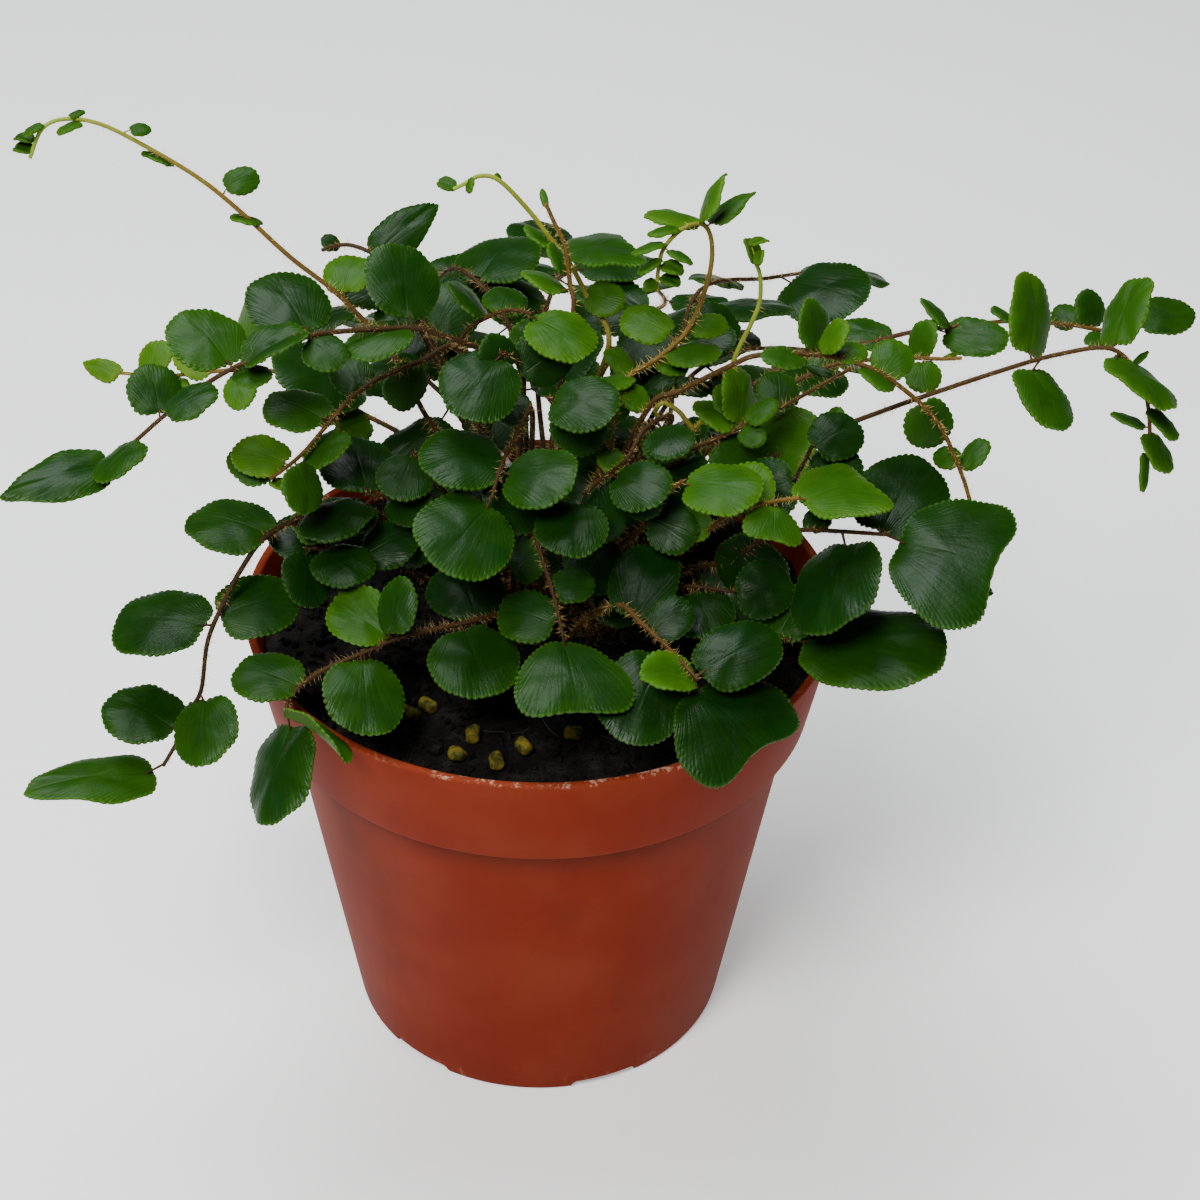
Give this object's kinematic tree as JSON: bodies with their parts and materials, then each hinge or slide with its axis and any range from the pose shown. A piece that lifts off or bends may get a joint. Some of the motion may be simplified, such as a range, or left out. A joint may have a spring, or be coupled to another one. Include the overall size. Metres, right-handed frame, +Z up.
{
  "type": "potted button fern",
  "caption": "Button fern with wiry arching fronds of small round leaflets, growing in dark soil in a tapered plastic nursery pot.",
  "frame": {"origin": "middle of the flat underside of the pot", "axes": "+Z up, +X to the right and -Y towards the viewer of the picture"},
  "size_m": [0.2074, 0.1716, 0.1752],
  "materials": {
    "terracotta_plastic": "satin moulded plastic, lightly scuffed",
    "peat": "matt crumbly peat",
    "feed_yellow": "dull resin-coated pellets",
    "leaf_green": "leathery leaflets with a soft gloss, on wiry brown stems",
    "young_green": "soft young growth"
  },
  "bodies": {
    "root": {"fiddlehead_right": "young_green", "fiddlehead_small": "young_green", "fiddlehead_thin": "young_green", "frond_behind_nodding": "leaf_green", "frond_centre": "leaf_green", "frond_centre_bright": "leaf_green", "frond_centre_right": "leaf_green", "frond_crown_left": "leaf_green", "frond_crown_low": "leaf_green", "frond_crown_middle": "leaf_green", "frond_front_left": "leaf_green", "frond_front_middle": "leaf_green", "frond_front_right": "leaf_green", "frond_inner_centre": "leaf_green", "frond_inner_left": "leaf_green", "frond_inner_middle": "leaf_green", "frond_inner_rear": "leaf_green", "frond_inner_right": "leaf_green", "frond_left_arch": "leaf_green", "frond_left_inner": "leaf_green", "frond_left_low": "leaf_green", "frond_left_rear": "leaf_green", "frond_left_short": "leaf_green", "frond_left_tall": "leaf_green", "frond_rear_1": "leaf_green", "frond_rear_2": "leaf_green", "frond_rear_3": "leaf_green", "frond_rear_4": "leaf_green", "frond_rear_5": "leaf_green", "frond_rear_6": "leaf_green", "frond_rear_7": "leaf_green", "frond_rear_left_high": "leaf_green", "frond_right_arch": "leaf_green", "frond_right_bright": "leaf_green", "frond_right_front": "leaf_green", "frond_right_inner": "leaf_green", "frond_right_long": "leaf_green", "frond_right_low": "leaf_green", "frond_right_rear": "leaf_green", "frond_right_thin": "leaf_green", "frond_tall_nodding": "leaf_green", "frond_upright_brown": "leaf_green", "pellet_1": "feed_yellow", "pellet_2": "feed_yellow", "pellet_3": "feed_yellow", "pellet_4": "feed_yellow", "pellet_5": "feed_yellow", "pellet_6": "feed_yellow", "pellet_7": "feed_yellow", "pellet_8": "feed_yellow", "pellet_9": "feed_yellow", "pot": "terracotta_plastic", "soil": "peat"}
  },
  "joints": []
}
